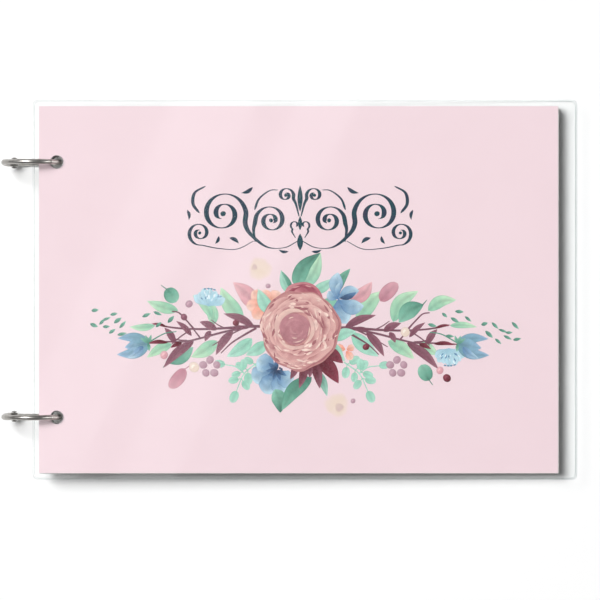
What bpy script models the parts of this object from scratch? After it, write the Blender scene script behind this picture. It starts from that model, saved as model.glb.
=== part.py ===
"""Landscape scrapbook album: punched card leaves between two clear covers, on two hinged book rings.

Units are metres. +X runs from the rings to the free edge, +Y to the top of the pages, +Z up.
The origin is on the surface that the album lies on, at the middle of its footprint.

Everything is modelled in the album's own frame, whose origin is on the rings' common axis,
halfway up the stack of sheets. The rings are taller than the stack, so the closed album leans:
it stands on its rings at the left and on the back cover's lower right edge.
Angles around a ring are in degrees, from +X towards +Z of that frame.
"""

from math import asin, atan2, cos, degrees, hypot, radians, sin

import bmesh
import bpy
from mathutils import Matrix, Vector

# Fit
GAP = 0.0003  # between neighbouring pieces
TURNING_GAP = 0.00035  # around a faceted piece that turns

# Sheets: left edges are measured from the rings' axis
PAGE_WIDTH = 0.297
PAGE_HEIGHT = 0.210
PAGE_LEFT = 0.0044
LEAF_COUNT = 16
LEAF_THICKNESS = 0.0004
TITLE_THICKNESS = 0.0004
COVER_WIDTH = 0.3112
COVER_HEIGHT = 0.2170
COVER_LEFT = 0.0010
COVER_THICKNESS = 0.0010
COVER_CORNER = 0.0030
CORNER_STEPS = 5
LEAF_DRIFT = 0.0003  # how unevenly the loose leaves lie

# Punched holes
HOLE_RADIUS = 0.00365
HOLE_FROM_AXIS = 0.0146
HOLE_SPACING = 0.146
HOLE_SIDES = 20

# Rings
RING_RADIUS = 0.0160  # to the middle of the wire
WIRE_RADIUS = 0.0015
WIRE_SIDES = 12
WIRE_STEPS = 18
CLASP_ANGLE = 47.0  # where the two halves snap together
KNUCKLE_ANGLE = 227.0  # where they are riveted

# Clasp
SPIGOT_RADIUS = 0.0007
SPIGOT_LENGTH = 0.0021
SPIGOT_ROOT = 0.0008  # how far it is set into the wire
SOCKET_RADIUS = 0.0010
SOCKET_DEPTH = 0.0026

# Knuckle: a tongue on the fixed half between the two cheeks of a fork on the gate
LUG_RADIUS = 0.0020
LUG_LENGTH = 0.0034
TONGUE_WIDTH = 0.0012
FORK_WIDTH = 0.0042
SLOT_RADIUS = LUG_RADIUS + TURNING_GAP
TONGUE_WIRE_START = 0.0027  # from the rivet to where the round wire begins
FORK_WIRE_START = 0.0020
FLARE_ANGLES = (165.0, 205.0)  # over which the gate's wire spreads to the fork's width
BORE_SIDES = 16

# Rivet
PIN_RADIUS = 0.0008
PIN_BORE_RADIUS = PIN_RADIUS + TURNING_GAP
HEAD_RADIUS = 0.0016
HEAD_HEIGHT = 0.00105
HEAD_STEPS = 4
RIVET_SIDES = 14

# What follows from them
STACK_HEIGHT = (
    2 * COVER_THICKNESS + LEAF_COUNT * LEAF_THICKNESS + TITLE_THICKNESS + (LEAF_COUNT + 2) * GAP
)
RING_OUTER = RING_RADIUS + WIRE_RADIUS
COVER_RIGHT = COVER_LEFT + COVER_WIDTH
LEAN = asin(RING_OUTER / hypot(COVER_RIGHT, STACK_HEIGHT / 2)) - atan2(STACK_HEIGHT / 2, COVER_RIGHT)
REACH = COVER_RIGHT * cos(LEAN) + STACK_HEIGHT / 2 * sin(LEAN)
AXIS_X = (RING_OUTER - REACH) / 2
AXIS_Z = RING_OUTER


def clear_scene():
    for ob in list(bpy.data.objects):
        bpy.data.objects.remove(ob, do_unlink=True)


def finish(name, colour, roughness, metallic=0.0, alpha=1.0):
    """A material with one plain Principled surface."""
    material = bpy.data.materials.new(name)
    material.use_nodes = True
    shader = material.node_tree.nodes["Principled BSDF"]
    shader.inputs["Base Color"].default_value = (*colour, 1.0)
    shader.inputs["Roughness"].default_value = roughness
    shader.inputs["Metallic"].default_value = metallic
    shader.inputs["Alpha"].default_value = alpha
    material.diffuse_color = (*colour, alpha)
    return material


def add_object(name, mesh, parent=None, location=(0, 0, 0), material=None):
    ob = bpy.data.objects.new(name, mesh)
    ob.parent = parent
    ob.location = location
    if material:
        ob.data.materials.append(material)
    bpy.context.scene.collection.objects.link(ob)
    return ob


def mesh_from(bm, name):
    """The closed mesh of bm, its faces turned outwards and its round surfaces shaded smooth."""
    bmesh.ops.recalc_face_normals(bm, faces=bm.faces[:])
    mesh = bpy.data.meshes.new(name)
    bm.to_mesh(mesh)
    bm.free()
    mesh.shade_smooth()
    mesh.set_sharp_from_angle(angle=radians(35))
    return mesh


# Sheets


def arc(centre, radius, start, end, steps):
    """Points on an arc in a plane, both ends included."""
    turns = [radians(start + (end - start) * i / steps) for i in range(steps + 1)]
    return [(centre[0] + radius * cos(t), centre[1] + radius * sin(t)) for t in turns]


def sheet_outline(left, width, height, corner):
    """A rectangle centred on the X axis, with square or round corners."""
    right, top = left + width, height / 2
    if not corner:
        return [(right, -top), (right, top), (left, top), (left, -top)]
    centres = [
        (right - corner, top - corner),
        (left + corner, top - corner),
        (left + corner, corner - top),
        (right - corner, corner - top),
    ]
    points = []
    for i, centre in enumerate(centres):
        points += arc(centre, corner, 90 * i, 90 * i + 90, CORNER_STEPS)
    return points


def hole_outline(side):
    """The punched hole at the upper (side 1) or the lower (side -1) ring."""
    centre = (HOLE_FROM_AXIS, side * HOLE_SPACING / 2)
    return arc(centre, HOLE_RADIUS, 0, 360, HOLE_SIDES)[:-1]


def sheet_mesh(name, outline, bottom, thickness, shift=(0, 0)):
    """A punched sheet with its lower face at the height bottom."""
    bm = bmesh.new()
    for loop in (outline, hole_outline(1), hole_outline(-1)):
        verts = [bm.verts.new((x + shift[0], y + shift[1], bottom)) for x, y in loop]
        for a, b in zip(verts, verts[1:] + verts[:1]):
            bm.edges.new((a, b))
    bmesh.ops.triangle_fill(bm, edges=bm.edges[:], use_beauty=True)
    upper = bmesh.ops.extrude_face_region(bm, geom=bm.faces[:])["geom"]
    lifted = [v for v in upper if isinstance(v, bmesh.types.BMVert)]
    bmesh.ops.translate(bm, verts=lifted, vec=(0, 0, thickness))
    return mesh_from(bm, name)


def leaf_shift(number):
    """The small slide of a loose leaf on its rings."""
    return (
        LEAF_DRIFT * (1.0 + 0.6 * sin(1.7 * number)),
        LEAF_DRIFT * (0.7 * sin(2.3 * number) - 0.5),
    )


def make_sheets(album):
    """Back cover, leaves, printed title page and front cover, each carried by the one below it."""
    clear = finish("clear_cover_sheet", (0.93, 0.95, 0.96), 0.08, alpha=0.25)
    pink = finish("pink_printed_card", (0.90, 0.72, 0.76), 0.55)
    white = finish("white_card", (0.88, 0.88, 0.86), 0.75)
    page = sheet_outline(PAGE_LEFT, PAGE_WIDTH, PAGE_HEIGHT, 0)
    cover = sheet_outline(COVER_LEFT, COVER_WIDTH, COVER_HEIGHT, COVER_CORNER)
    sheets = [("back_cover", cover, COVER_THICKNESS, (0, 0), clear)]
    for number in range(LEAF_COUNT, 0, -1):
        sheets.append((f"leaf_{number:02d}", page, LEAF_THICKNESS, leaf_shift(number), white))
    sheets.append(("title_page", page, TITLE_THICKNESS, (0, 0), pink))
    sheets.append(("front_cover", cover, COVER_THICKNESS, (0, 0), clear))
    height = -STACK_HEIGHT / 2
    below = album
    for name, outline, thickness, shift, material in sheets:
        mesh = sheet_mesh(name, outline, height, thickness, shift)
        below = add_object(name, mesh, below, material=material)
        height += thickness + GAP


# Rings: made in a ring's own plane, XZ, with the ring's centre at the origin


def on_ring(angle, radius=RING_RADIUS):
    return Vector((radius * cos(radians(angle)), 0, radius * sin(radians(angle))))


def along_ring(angle):
    """The direction in which the angle grows."""
    return Vector((-sin(radians(angle)), 0, cos(radians(angle))))


def angle_of(length):
    """The angle that a length of wire takes up."""
    return degrees(length / RING_RADIUS)


def skin(bm, loops):
    """A closed surface over a row of loops of points, each end capped flat."""
    rows = [[bm.verts.new(point) for point in loop] for loop in loops]
    for a, b in zip(rows, rows[1:]):
        for i in range(len(a)):
            j = (i + 1) % len(a)
            bm.faces.new((a[i], a[j], b[j], b[i]))
    bm.faces.new(rows[0])
    bm.faces.new(rows[-1])


def flared(angle):
    """How many times wider than round the gate's wire is, along the ring's axis."""
    start, end = FLARE_ANGLES
    t = min(max((angle - start) / (end - start), 0.0), 1.0)
    return 1 + (FORK_WIDTH / (2 * WIRE_RADIUS) - 1) * t * t * (3 - 2 * t)


def wire_solid(name, start, end, widening=lambda angle: 1.0):
    """Wire bent about the ring's axis from one angle to the other."""
    loops = []
    for step in range(WIRE_STEPS + 1):
        angle = start + (end - start) * step / WIRE_STEPS
        section = arc((0, 0), WIRE_RADIUS, 0, 360, WIRE_SIDES)[:-1]
        loops.append(
            [
                on_ring(angle, RING_RADIUS + across) + Vector((0, along * widening(angle), 0))
                for across, along in section
            ]
        )
    bm = bmesh.new()
    skin(bm, loops)
    return add_object(name, mesh_from(bm, name))


def rod_solid(name, start, end, radius, sides=BORE_SIDES):
    """A straight round rod between two points."""
    start, end = Vector(start), Vector(end)
    turn = (end - start).to_track_quat("Z", "Y").to_matrix()
    loops = [
        [centre + turn @ Vector((x, y, 0)) for x, y in arc((0, 0), radius, 0, 360, sides)[:-1]]
        for centre in (start, end)
    ]
    bm = bmesh.new()
    skin(bm, loops)
    return add_object(name, mesh_from(bm, name))


def lug_solid(name, width, direction):
    """A plate with a round end about the rivet, running back along direction into its wire."""
    out = degrees(atan2(direction.z, direction.x))
    rivet = on_ring(KNUCKLE_ANGLE)
    side = Vector((-direction.z, 0, direction.x)) * LUG_RADIUS
    back = rivet + direction * LUG_LENGTH
    round_end = arc((rivet.x, rivet.z), LUG_RADIUS, out + 90, out + 270, BORE_SIDES // 2)
    outline = [(back.x - side.x, back.z - side.z), (back.x + side.x, back.z + side.z), *round_end]
    bm = bmesh.new()
    skin(bm, [[(x, y, z) for x, z in outline] for y in (-width / 2, width / 2)])
    return add_object(name, mesh_from(bm, name))


def carved(name, body, steps, centre):
    """The mesh of body after a Boolean with each solid in turn, with its origin moved to centre."""
    for operation, other in steps:
        cut = body.modifiers.new(other.name, "BOOLEAN")
        cut.operation = operation
        cut.object = other
    view = bpy.context.evaluated_depsgraph_get()
    mesh = bpy.data.meshes.new_from_object(body.evaluated_get(view))
    mesh.name = name
    mesh.transform(Matrix.Translation(-centre))
    mesh.shade_smooth()
    mesh.set_sharp_from_angle(angle=radians(35))
    for ob in [body, *(other for _, other in steps)]:
        bpy.data.objects.remove(ob)
    return mesh


def rivet_bore():
    rivet = on_ring(KNUCKLE_ANGLE)
    depth = Vector((0, FORK_WIDTH, 0))
    return rod_solid("rivet_bore", rivet - depth, rivet + depth, PIN_BORE_RADIUS)


def base_mesh():
    """The fixed half: it threads the holes, and has the tongue at one end and the socket at the other."""
    end = CLASP_ANGLE - angle_of(GAP / 2)
    start = KNUCKLE_ANGLE - 360 + angle_of(TONGUE_WIRE_START)
    mouth = on_ring(end)
    inward = -along_ring(end)
    wire = wire_solid("base_wire", start, end)
    tongue = lug_solid("tongue", TONGUE_WIDTH, along_ring(KNUCKLE_ANGLE))
    socket = rod_solid("socket", mouth - inward * GAP, mouth + inward * SOCKET_DEPTH, SOCKET_RADIUS)
    steps = [("UNION", tongue), ("DIFFERENCE", rivet_bore()), ("DIFFERENCE", socket)]
    return carved("ring_base", wire, steps, Vector())


def gate_mesh():
    """The swinging half: a fork at the rivet, and a spigot that snaps into the socket."""
    start = CLASP_ANGLE + angle_of(GAP / 2)
    end = KNUCKLE_ANGLE - angle_of(FORK_WIRE_START)
    tip = on_ring(start)
    outward = -along_ring(start)
    rivet = on_ring(KNUCKLE_ANGLE)
    half_slot = Vector((0, TONGUE_WIDTH / 2 + GAP, 0))
    wire = wire_solid("gate_wire", start, end, flared)
    fork = lug_solid("fork", FORK_WIDTH, -along_ring(KNUCKLE_ANGLE))
    slot = rod_solid("slot", rivet - half_slot, rivet + half_slot, SLOT_RADIUS, 2 * BORE_SIDES)
    spigot = rod_solid(
        "spigot", tip - outward * SPIGOT_ROOT, tip + outward * SPIGOT_LENGTH, SPIGOT_RADIUS
    )
    steps = [
        ("UNION", fork),
        ("DIFFERENCE", slot),
        ("DIFFERENCE", rivet_bore()),
        ("UNION", spigot),
    ]
    return carved("ring_gate", wire, steps, rivet)


def rivet_mesh():
    """A pin with a domed head at each end, turned about Y."""
    shoulder = FORK_WIDTH / 2 + GAP
    dome = [
        (HEAD_RADIUS * cos(t), shoulder + HEAD_HEIGHT * sin(t))
        for t in (radians(90 * i / HEAD_STEPS) for i in range(HEAD_STEPS))
    ]
    upper = [(PIN_RADIUS, shoulder), *dome]
    profile = [(radius, -y) for radius, y in reversed(upper)] + upper
    loops = [[(x, y, z) for x, z in arc((0, 0), r, 0, 360, RIVET_SIDES)[:-1]] for r, y in profile]
    bm = bmesh.new()
    skin(bm, loops)
    return mesh_from(bm, "ring_rivet")


def make_rings(album):
    """Two like rings, each of a base, a gate and the rivet between them."""
    base, gate, rivet = base_mesh(), gate_mesh(), rivet_mesh()
    base.materials.append(finish("ring_base_nickel", (0.62, 0.62, 0.63), 0.25, 1.0))
    gate.materials.append(finish("ring_gate_nickel", (0.62, 0.62, 0.63), 0.22, 1.0))
    rivet.materials.append(finish("rivet_nickel", (0.55, 0.55, 0.56), 0.30, 1.0))
    for name, side in (("upper", 1), ("lower", -1)):
        centre = (0, side * HOLE_SPACING / 2, 0)
        fixed = add_object(f"{name}_ring_base", base, album, centre)
        add_object(f"{name}_ring_gate", gate, fixed, on_ring(KNUCKLE_ANGLE))
        add_object(f"{name}_ring_rivet", rivet, fixed, on_ring(KNUCKLE_ANGLE))


def main():
    clear_scene()
    album = add_object("album_on_ring_axis", None, None, (AXIS_X, 0, AXIS_Z))
    album.rotation_euler = (0, LEAN, 0)
    make_sheets(album)
    make_rings(album)


main()
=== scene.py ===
"""Scrapbook album: what its sheets, its print and its rings look like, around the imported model.

Lengths are in metres. The sheets and rings are made in the album's own frame, as in the model's
source: the origin is on the rings' axis halfway up the stack, +X runs to the free edge, +Y to the
top of the pages and +Z out of the front cover. ALBUM turns that frame into the model's.
The print is drawn in millimetres from the middle of the title page, +X right and +Y up.
"""

import random
from math import asin, atan2, cos, degrees, floor, hypot, log, pi, radians, sin, sqrt

import bmesh
import bpy
from mathutils import Matrix, Vector, noise
from mathutils.geometry import delaunay_2d_cdt


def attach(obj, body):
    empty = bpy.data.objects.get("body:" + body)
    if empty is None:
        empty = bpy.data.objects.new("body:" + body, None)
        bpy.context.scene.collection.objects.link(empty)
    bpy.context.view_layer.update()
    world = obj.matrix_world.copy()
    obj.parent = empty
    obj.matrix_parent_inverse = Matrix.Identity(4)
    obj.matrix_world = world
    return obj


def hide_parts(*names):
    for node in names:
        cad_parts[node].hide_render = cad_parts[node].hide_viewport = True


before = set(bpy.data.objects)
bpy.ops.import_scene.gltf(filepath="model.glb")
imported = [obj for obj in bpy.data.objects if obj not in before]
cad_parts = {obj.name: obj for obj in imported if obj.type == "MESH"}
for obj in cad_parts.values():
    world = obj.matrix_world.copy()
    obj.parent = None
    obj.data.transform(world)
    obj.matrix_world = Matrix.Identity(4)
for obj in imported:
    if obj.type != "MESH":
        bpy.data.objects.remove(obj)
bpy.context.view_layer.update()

# Sizes of the model's source
GAP = 0.0003
PAGE_WIDTH = 0.297
PAGE_HEIGHT = 0.210
PAGE_LEFT = 0.0044
LEAF_COUNT = 16
LEAF_THICKNESS = 0.0004
COVER_WIDTH = 0.3112
COVER_HEIGHT = 0.2170
COVER_LEFT = 0.0010
COVER_THICKNESS = 0.0010
COVER_CORNER = 0.0030
COVER_EDGE = 0.00018  # how far a cover's edge is rounded
CARD_CORNER = 0.0003
CARD_EDGE = 0.00005
LEAF_DRIFT = 0.0003
HOLE_RADIUS = 0.00365
HOLE_FROM_AXIS = 0.0146
HOLE_SPACING = 0.146
RING_RADIUS = 0.0160
WIRE_RADIUS = 0.0015
WIRE_SKIN = 0.00146  # round wire drawn just inside the model's faceted one
CLASP_ANGLE = 47.0
KNUCKLE_ANGLE = 227.0
SPIGOT_RADIUS = 0.0007
SPIGOT_LENGTH = 0.0021
SPIGOT_ROOT = 0.0008
SOCKET_RADIUS = 0.0010
SOCKET_DEPTH = 0.0026
LUG_RADIUS = 0.0020
LUG_LENGTH = 0.0034
TONGUE_WIDTH = 0.0012
FORK_WIDTH = 0.0042
CLEARANCE = 0.00035  # round the rivet and the tongue
SLOT_RADIUS = LUG_RADIUS + CLEARANCE
TONGUE_WIRE_START = 0.0027
FORK_WIRE_START = 0.0020
FLARE_ANGLES = (165.0, 205.0)  # where the gate widens along the ring's axis
DEEPEN_ANGLE = 196.0  # where it starts to widen across the ring
PIN_RADIUS = 0.0008
PIN_BORE_RADIUS = PIN_RADIUS + CLEARANCE
HEAD_RADIUS = 0.0016
HEAD_HEIGHT = 0.00078

ROUNDING = 0.3  # a rounded edge's middle lies this share of its radius from both faces
SMOOTH_BELOW = 35.0  # edges that turn more than this stay crisp
ROUND_SIDES = 32

STACK_HEIGHT = 2 * COVER_THICKNESS + (LEAF_COUNT + 1) * LEAF_THICKNESS + (LEAF_COUNT + 2) * GAP
RING_OUTER = RING_RADIUS + WIRE_RADIUS
COVER_RIGHT = COVER_LEFT + COVER_WIDTH
LEAN = asin(RING_OUTER / hypot(COVER_RIGHT, STACK_HEIGHT / 2)) - atan2(STACK_HEIGHT / 2, COVER_RIGHT)
REACH = COVER_RIGHT * cos(LEAN) + STACK_HEIGHT / 2 * sin(LEAN)
ALBUM = Matrix.Translation(((RING_OUTER - REACH) / 2, 0, RING_OUTER)) @ Matrix.Rotation(LEAN, 4, "Y")
TITLE_TOP = STACK_HEIGHT / 2 - COVER_THICKNESS - GAP
PAGE_MIDDLE = PAGE_LEFT + PAGE_WIDTH / 2


# Materials


def linear(colour):
    """The scene-linear value of an sRGB colour."""
    return tuple(c / 12.92 if c <= 0.04045 else ((c + 0.055) / 1.055) ** 2.4 for c in colour)


class Nodes:
    """A new material, and short ways to add nodes to it."""

    def __init__(self, name):
        self.material = bpy.data.materials.new(name)
        self.material.use_nodes = True
        self.tree = self.material.node_tree
        self.shader = self.tree.nodes["Principled BSDF"]
        self.out = self.tree.nodes["Material Output"]
        self.place = self.add("ShaderNodeTexCoord").outputs["Object"]

    def feed(self, node, inputs):
        """Give inputs, by name or number, a socket to be linked to, a number or a colour."""
        for key, value in inputs.items():
            socket = node.inputs[key]
            if isinstance(value, bpy.types.NodeSocket):
                self.tree.links.new(value, socket)
            elif socket.type == "RGBA":
                socket.default_value = (*value, 1.0)
            else:
                socket.default_value = value

    def add(self, kind, inputs=None, **settings):
        node = self.tree.nodes.new(kind)
        for key, value in settings.items():
            setattr(node, key, value)
        self.feed(node, inputs or {})
        return node

    def noise(self, scale, detail=3.0, roughness=0.5, stretch=None):
        """The grey value of a noise, with its features 1 / scale metres across."""
        place = self.place
        if stretch:
            place = self.add("ShaderNodeMapping", {"Scale": stretch, "Vector": place}).outputs["Vector"]
        inputs = {"Vector": place, "Scale": scale, "Detail": detail, "Roughness": roughness}
        return self.add("ShaderNodeTexNoise", inputs).outputs["Fac"]

    def between(self, value, low, high, start=0.35, end=0.65):
        """The value between start and end, spread from low to high."""
        inputs = {"Value": value, "From Min": start, "From Max": end, "To Min": low, "To Max": high}
        return self.add("ShaderNodeMapRange", inputs).outputs["Result"]

    def mix(self, factor, a, b):
        """Two colours mixed. Each may be a socket or a colour, and the factor a socket or a number."""
        return self.add("ShaderNodeMix", {0: factor, 6: a, 7: b}, data_type="RGBA").outputs[2]

    def grain(self, height):
        """The look of a very fine relief."""
        inputs = {"Strength": 1.0, "Distance": 0.00002, "Height": height}
        return self.add("ShaderNodeBump", inputs).outputs["Normal"]


def card_material(name, light, dark, roughness):
    """Matt card: faint clouds of tone, and a fine fibre grain in its surface."""
    n = Nodes(name)
    clouds = n.mix(n.between(n.noise(38), 0, 1), linear(light), linear(dark))
    fibres = n.noise(2600, detail=4, roughness=0.65)
    look = {
        "Base Color": n.mix(n.between(fibres, 0, 0.05), clouds, linear(dark)),
        "Roughness": n.between(n.noise(160), roughness - 0.05, roughness + 0.05),
        "Normal": n.grain(fibres),
    }
    n.feed(n.shader, look)
    return n.material


def nickel_material(name, tone):
    """Bright nickel plate, a little uneven, with hairline scratches round the ring."""
    n = Nodes(name)
    bright = linear((tone, tone * 0.985, tone * 0.965))
    dull = linear((tone * 0.86, tone * 0.84, tone * 0.81))
    scratches = n.noise(900, detail=4, roughness=0.6, stretch=(1, 5, 1))
    look = {
        "Base Color": n.mix(n.between(n.noise(420), 0, 1), bright, dull),
        "Metallic": 1.0,
        "Roughness": n.between(scratches, 0.26, 0.42),
        "Normal": n.grain(scratches),
    }
    n.feed(n.shader, look)
    return n.material


def clear_material(name, tint, haze, roughness):
    """Clear plastic: it passes light straight through, and mirrors more of it the flatter it is seen."""
    n = Nodes(name)
    n.tree.nodes.remove(n.shader)
    clear = n.add("ShaderNodeBsdfTransparent", {"Color": tint})
    rough = n.between(n.noise(55), roughness * 0.7, roughness * 1.4)
    gloss = n.add("ShaderNodeBsdfGlossy", {"Color": (0.95, 0.97, 0.98), "Roughness": rough})
    facing = n.add("ShaderNodeLayerWeight", {"Blend": 0.5}).outputs["Facing"]
    steep = n.add("ShaderNodeMath", {0: facing, 1: 4.0}, operation="POWER").outputs[0]
    share = n.between(steep, haze, 0.9, 0, 1)
    mixed = n.add("ShaderNodeMixShader", {0: share, 1: clear.outputs[0], 2: gloss.outputs[0]})
    n.feed(n.out, {"Surface": mixed.outputs[0]})
    return n.material


# Pieces


def closed_mesh(bm, name):
    """The mesh of a closed shape, its faces turned outwards."""
    bmesh.ops.recalc_face_normals(bm, faces=bm.faces[:])
    mesh = bpy.data.meshes.new(name)
    bm.to_mesh(mesh)
    bm.free()
    return mesh


def shaded_smooth(mesh):
    mesh.shade_smooth()
    mesh.set_sharp_from_angle(angle=radians(SMOOTH_BELOW))
    return mesh


def placed(name, data):
    """A new object in the scene."""
    ob = bpy.data.objects.new(name, data)
    bpy.context.scene.collection.objects.link(ob)
    return ob


def add_piece(name, mesh, body, slot, materials, replaces=()):
    """A piece in the model's frame, carried by a body."""
    for material in materials:
        mesh.materials.append(material)
    ob = placed(name, mesh)
    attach(ob, body)
    if replaces:
        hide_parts(*replaces)


def arc(centre, radius, start, end, steps):
    turns = [radians(start + (end - start) * i / steps) for i in range(steps + 1)]
    return [(centre[0] + radius * cos(t), centre[1] + radius * sin(t)) for t in turns]


def circle(radius, sides=ROUND_SIDES, centre=(0, 0)):
    return arc(centre, radius, 0, 360, sides)[:-1]


def heading(angle):
    """The way that an angle in degrees points."""
    return Vector((cos(radians(angle)), sin(radians(angle))))


# Sheets


def sheet_outline(left, width, height, corner, inset):
    """A rectangle with round corners, set in all round by inset."""
    right, top = left + width - corner, height / 2 - corner
    left += corner
    centres = [(right, top), (left, top), (left, -top), (right, -top)]
    points = []
    for i, centre in enumerate(centres):
        points += arc(centre, corner - inset, 90 * i, 90 * i + 90, 8)
    return points


def hole_outline(side, inset):
    centre = (HOLE_FROM_AXIS, side * HOLE_SPACING / 2)
    return circle(HOLE_RADIUS + inset, 48, centre)


ABOVE, BELOW, RIM, WALL = range(4)  # a sheet's materials


def sheet_mesh(name, size, corner, bottom, top, edge, shift=(0, 0)):
    """A punched sheet with rounded edges."""
    bm = bmesh.new()
    inset = edge * ROUNDING
    steps = [(bottom, edge), (bottom + inset, inset), (bottom + edge, 0)]
    steps += [(top - edge, 0), (top - inset, inset), (top, edge)]
    contours = []
    for outline in (
        lambda inset: sheet_outline(*size, corner, inset),
        lambda inset: hole_outline(1, inset),
        lambda inset: hole_outline(-1, inset),
    ):
        rows = []
        for height, inset in steps:
            points = [Vector((x + shift[0], y + shift[1], height)) for x, y in outline(inset)]
            rows.append([bm.verts.new(ALBUM @ p) for p in points])
        contours.append((points, rows))
        for low, high in zip(rows, rows[1:]):
            for i in range(len(low)):
                j = (i + 1) % len(low)
                wall = bm.faces.new((low[i], low[j], high[j], high[i]))
                wall.material_index = RIM if len(contours) == 1 else WALL
    flat, edges, lowest, highest, owner = [], [], [], [], []
    for number, (points, rows) in enumerate(contours):
        first = len(flat)
        flat += [p.to_2d() for p in points]
        edges += [(first + i, first + (i + 1) % len(points)) for i in range(len(points))]
        owner += [number] * len(points)
        lowest += rows[0]
        highest += rows[-1]
    for triangle in delaunay_2d_cdt(flat, edges, [], 2, 1e-9)[2]:
        owners = {owner[i] for i in triangle}
        if len(owners) == 1 and 0 not in owners:
            continue  # it would fill a hole
        bm.faces.new([highest[i] for i in triangle]).material_index = ABOVE
        bm.faces.new([lowest[i] for i in reversed(triangle)]).material_index = BELOW
    mesh = shaded_smooth(closed_mesh(bm, name))
    for face in mesh.polygons:
        face.use_smooth = face.material_index in (RIM, WALL)
    return mesh


def leaf_shift(number):
    """How far a leaf has slipped, as in the model's source."""
    return (
        LEAF_DRIFT * (1.0 + 0.6 * sin(1.7 * number)),
        LEAF_DRIFT * (0.7 * sin(2.3 * number) - 0.5),
    )


def make_sheets():
    white = card_material("white_card_paper", (0.95, 0.945, 0.935), (0.94, 0.934, 0.922), 0.75)
    pink = card_material("pink_print_paper", (0.921, 0.829, 0.852), (0.916, 0.823, 0.846), 0.5)
    # the leaves' hole walls are coloured dark grey: painted shade for the deep ring holes, while the card
    # itself is white
    punched = card_material("hole_wall_painted_shade", (0.24, 0.22, 0.21), (0.16, 0.15, 0.15), 0.9)
    clear = clear_material("clear_sheet", (0.996, 0.998, 0.997), 0.01, 0.032)
    # the covers' cut edges and hole walls pass less light through a grey tint: painted shade for the dark
    # line along a clear sheet's edge
    rim = clear_material("clear_sheet_edge_painted_shade", (0.72, 0.77, 0.77), 0.16, 0.12)
    page = (PAGE_LEFT, PAGE_WIDTH, PAGE_HEIGHT)
    cover = (COVER_LEFT, COVER_WIDTH, COVER_HEIGHT)
    height = -STACK_HEIGHT / 2
    names = ["back_cover"] + [f"leaf_{i:02d}" for i in range(LEAF_COUNT, 0, -1)]
    for name in names + ["title_page", "front_cover"]:
        if name.endswith("cover"):
            top = height + COVER_THICKNESS
            mesh = sheet_mesh(name, cover, COVER_CORNER, height, top, COVER_EDGE)
            add_piece(name + "_clear", mesh, name, "clear_cover", [clear, clear, rim, rim], [name])
        else:
            top = height + LEAF_THICKNESS
            front, slot, shift = pink, "printed_card", (0, 0)
            if name != "title_page":
                front, slot, shift = white, "white_card", leaf_shift(int(name[-2:]))
            mesh = sheet_mesh(name, page, CARD_CORNER, height, top, CARD_EDGE, shift)
            add_piece(name + "_card", mesh, name, slot, [front, white, white, punched], [name])
        height = top + GAP


# Print: films of ink on the title page, in millimetres from the page's middle

INK_BASE = 0.004  # the underside of every film, above the paper
INK_STEP = 0.006  # how far a film stands above the one it covers
THINNEST = 0.06  # half the width of the finest line

MINT = ((0.60, 0.83, 0.74), (0.71, 0.89, 0.82))
FRESH = ((0.58, 0.80, 0.69), (0.78, 0.91, 0.78))
GREEN = ((0.58, 0.80, 0.71), (0.36, 0.60, 0.52))
DEEP = ((0.30, 0.52, 0.45), (0.50, 0.74, 0.65))
MAROON = ((0.50, 0.29, 0.36), (0.61, 0.41, 0.47))
WINE = ((0.36, 0.10, 0.15), (0.58, 0.26, 0.33))
BLUE = ((0.38, 0.54, 0.70), (0.76, 0.87, 0.92))
SKY = ((0.62, 0.79, 0.86), (0.78, 0.90, 0.94))
BUD = ((0.44, 0.62, 0.67), (0.60, 0.74, 0.85))
PINK = ((0.84, 0.60, 0.64), (0.93, 0.74, 0.76))
DUSKY = ((0.78, 0.54, 0.60), (0.86, 0.66, 0.70))
CORAL = ((0.96, 0.62, 0.53), (0.98, 0.83, 0.77))
MAUVE = ((0.70, 0.54, 0.60), (0.79, 0.66, 0.71))
CREAM = ((0.92, 0.84, 0.77), (0.95, 0.87, 0.83))
NAVY = (0.17, 0.26, 0.38)
TEAL_INK = (0.10, 0.28, 0.32)
SLATE_INK = (0.19, 0.22, 0.31)
TWIG = (0.49, 0.32, 0.38)
PAPER = (0.922, 0.831, 0.854)  # the page's own pink
PAGE_LIT = (0.953, 0.858, 0.881)  # the paper as it looks in the light, for stains to fade into
PAINT_DEPTH = 0.935  # the paint's tones are given as lit; this brings them to the sheet's own


def blend(a, b, t):
    t = min(max(t, 0.0), 1.0)
    return tuple(p + (q - p) * t for p, q in zip(a, b))


def lit(colour, share, gleam=0.0):
    return tuple(min(c * share + gleam, 1.0) for c in colour)


def swelling(half, power, ripple=0.0, waves=0):
    """Half widths along a line, from nothing to half and back, with waves on the edge."""
    return lambda u: half * sin(pi * u) ** power * (1 + ripple * sin(waves * u))


def dapple(x, y, seed=0.0):
    """Smooth blotches from -1 to 1, the same each run."""
    return noise.noise(Vector((x * 0.33, y * 0.33, seed))) + 0.5 * noise.noise(Vector((x, y, seed + 9)))


def course(points, steps):
    """A smooth line through the points: each place on it with the direction to its left."""
    points = [Vector(p) for p in points]
    ends = [2 * points[0] - points[1], *points, 2 * points[-1] - points[-2]]
    line = []
    for i in range(len(points) - 1):
        a, b, c, d = ends[i : i + 4]
        slope, curve, twist = c - a, 2 * a - 5 * b + 4 * c - d, 3 * b - a - 3 * c + d
        for k in range(steps + (i == len(points) - 2)):
            t = k / steps
            place = 0.5 * (2 * b + slope * t + curve * t**2 + twist * t**3)
            way = 0.5 * (slope + 2 * curve * t + 3 * twist * t**2)
            line.append((place, Vector((-way.y, way.x)).normalized()))
    return line


def bowed(base, tip, bend, steps):
    """A line from base to tip, bowed to its left by bend times its length."""
    base, tip = Vector(base), Vector(tip)
    left = Vector((base.y - tip.y, tip.x - base.x))
    return course([base, base.lerp(tip, 0.5) + left * bend, tip], steps // 2)


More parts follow.
